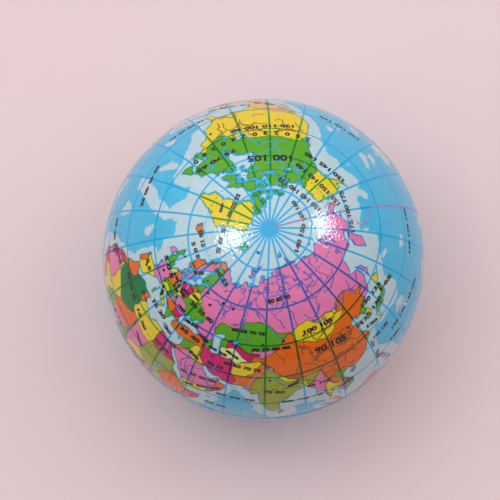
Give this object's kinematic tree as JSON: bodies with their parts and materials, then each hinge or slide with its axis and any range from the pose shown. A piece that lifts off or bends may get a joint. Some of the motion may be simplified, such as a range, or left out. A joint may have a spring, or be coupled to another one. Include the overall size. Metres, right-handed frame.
{
  "type": "stress ball",
  "caption": "Foam squeeze ball skinned with two printed film halves that show a world map; the seam runs round the equator and the ball flattens when pressed.",
  "frame": {"origin": "middle of the small flat at the south pole that the ball rests on", "axes": "+Z along the globe's polar axis, north up; -Y through longitude 0 at the equator; +X through 90 degrees east"},
  "size_m": [0.063, 0.063, 0.0628],
  "materials": {
    "printed_film": "satin",
    "foam": "matte"
  },
  "bodies": {
    "lower": {"film_south": "printed_film", "foam_core": "foam"},
    "upper": {"film_north": "printed_film"}
  },
  "joints": [
    {"name": "squeeze", "type": "slide", "parent": "lower", "child": "upper", "axis": [0, 0, -1], "range_m": [0, 0.022], "stiffness_N_per_m": 1500, "deforming": ["film_north", "foam_core", "film_south"]}
  ]
}
